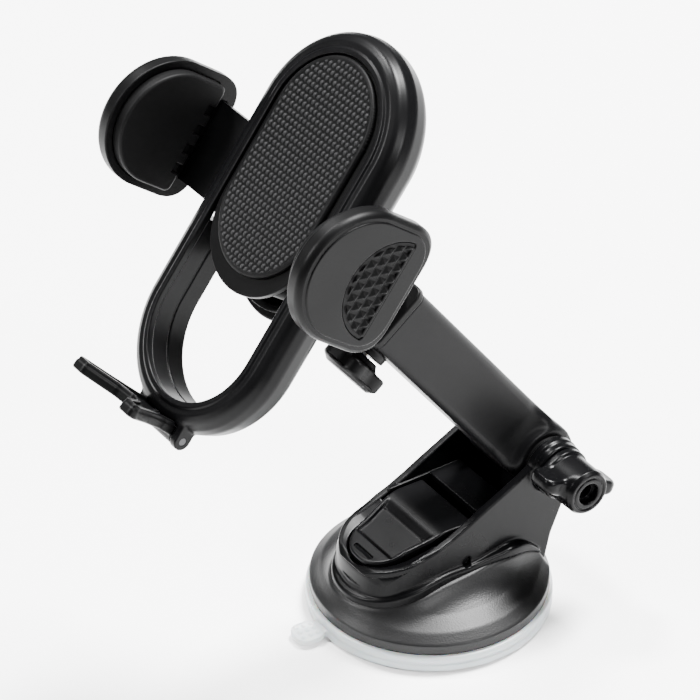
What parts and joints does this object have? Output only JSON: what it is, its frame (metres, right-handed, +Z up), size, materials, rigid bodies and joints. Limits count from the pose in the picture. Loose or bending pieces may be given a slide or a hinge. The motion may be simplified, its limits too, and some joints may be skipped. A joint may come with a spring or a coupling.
{
  "type": "phone mount",
  "caption": "Suction-cup phone mount with a locking lever base, tilting telescopic arm, ball joint and an oval cradle with two geared side jaws and a folding foot.",
  "frame": {"origin": "centre of the suction cup on the surface it sits on", "axes": "+Z up, -Y towards the lever and the cradle's front, +X towards the wing knob"},
  "size_m": [0.0996, 0.1524, 0.1915],
  "materials": {
    "clear_tpu": "satin",
    "textured_black": "satin",
    "gloss_black": "satin",
    "rubber_black": "matte",
    "steel": "satin",
    "brass": "satin",
    "white_nylon": "satin"
  },
  "bodies": {
    "base": {"suction_cup": "clear_tpu", "base_dome": "textured_black", "base_housing": "gloss_black", "base_screws": "steel", "stem_spring": "steel", "lever_pin": "steel", "pivot_bolt": "steel", "pivot_washers": "rubber_black"},
    "stem": {"cup_stem": "textured_black"},
    "lever": {"lock_lever": "gloss_black"},
    "knob": {"pivot_knob": "gloss_black", "knob_nut": "brass"},
    "arm": {"outer_arm": "gloss_black", "arm_collar": "textured_black", "clamp_nut": "brass"},
    "clamp": {"clamp_knob": "gloss_black", "clamp_screw": "steel"},
    "extension": {"inner_arm": "textured_black", "ball_stud": "gloss_black"},
    "liner": {"ball_liner": "white_nylon"},
    "nut": {"ball_nut": "gloss_black"},
    "cradle": {"cradle_back": "textured_black", "cradle_ring": "gloss_black", "pad_plate": "textured_black", "phone_pad": "rubber_black", "cradle_screws": "steel", "gear_post": "steel", "button_spring": "steel", "foot_pin": "steel"},
    "gear": {"sync_gear": "white_nylon"},
    "left_side": {"left_arm": "textured_black", "left_jaw": "gloss_black", "left_jaw_pad": "rubber_black", "left_grip": "rubber_black"},
    "right_side": {"right_arm": "textured_black", "right_jaw": "gloss_black", "right_jaw_pad": "rubber_black", "right_grip": "rubber_black"},
    "button": {"release_button": "gloss_black"},
    "foot": {"foot_fork": "gloss_black"}
  },
  "joints": [
    {"name": "lever_lock", "type": "hinge", "parent": "base", "child": "lever", "pos_m": [0, 0.0014, 0.0216], "axis": [-1, 0, 0], "range_deg": [0, 60]},
    {"name": "stem_lift", "type": "slide", "parent": "base", "child": "stem", "axis": [0, 0, 1], "range_m": [-0.0012, 0], "deforming": ["stem_spring", "suction_cup"]},
    {"name": "pivot_knob_turn", "type": "hinge", "parent": "base", "child": "knob", "pos_m": [0, 0.032, 0.0425], "axis": [1, 0, 0], "range_deg": [-180, 180]},
    {"name": "arm_tilt", "type": "hinge", "parent": "base", "child": "arm", "pos_m": [0, 0.032, 0.0425], "axis": [1, 0, 0], "range_deg": [-60, 25]},
    {"name": "clamp_knob_turn", "type": "hinge", "parent": "arm", "child": "clamp", "pos_m": [0, -0.02649, 0.09122], "axis": [0, -0.7955, -0.606], "range_deg": [-180, 180]},
    {"name": "arm_extend", "type": "slide", "parent": "arm", "child": "extension", "axis": [0, -0.606, 0.7955], "range_m": [-0.006, 0.03]},
    {"name": "ball_tilt", "type": "hinge", "parent": "extension", "child": "liner", "pos_m": [0, -0.03102, 0.12523], "axis": [1, 0, 0], "range_deg": [-30, 12]},
    {"name": "ball_swivel", "type": "hinge", "parent": "liner", "child": "nut", "pos_m": [0, -0.03102, 0.12523], "axis": [0, 0.606, 0.7955], "range_deg": [-14, 14]},
    {"name": "ball_roll", "type": "hinge", "parent": "nut", "child": "cradle", "pos_m": [0, -0.03102, 0.12523], "axis": [0, -0.7955, 0.606], "range_deg": [-90, 90]},
    {"name": "gear_spin", "type": "hinge", "parent": "cradle", "child": "gear", "pos_m": [0, -0.04557, 0.14808], "axis": [0, -0.7955, 0.606], "range_deg": [0, 106]},
    {"name": "left_jaw_slide", "type": "slide", "parent": "cradle", "child": "left_side", "axis": [1, 0, 0], "range_m": [0, 0.011]},
    {"name": "right_jaw_slide", "type": "slide", "parent": "cradle", "child": "right_side", "axis": [1, 0, 0], "range_m": [-0.011, 0]},
    {"name": "release_press", "type": "slide", "parent": "cradle", "child": "button", "axis": [0, -0.7955, 0.606], "range_m": [0, 0.0012], "stiffness_N_per_m": 900, "springref_m": -0.001},
    {"name": "foot_fold", "type": "hinge", "parent": "cradle", "child": "foot", "pos_m": [0, -0.08872, 0.09722], "axis": [1, 0, 0], "range_deg": [0, 75]}
  ],
  "couplings": [
    {"joint": "lever_lock", "follows": "stem_lift", "rad_per_m": -872.6},
    {"joint": "gear_spin", "follows": "left_jaw_slide", "rad_per_m": 166.67},
    {"joint": "right_jaw_slide", "follows": "left_jaw_slide", "ratio": -1}
  ]
}
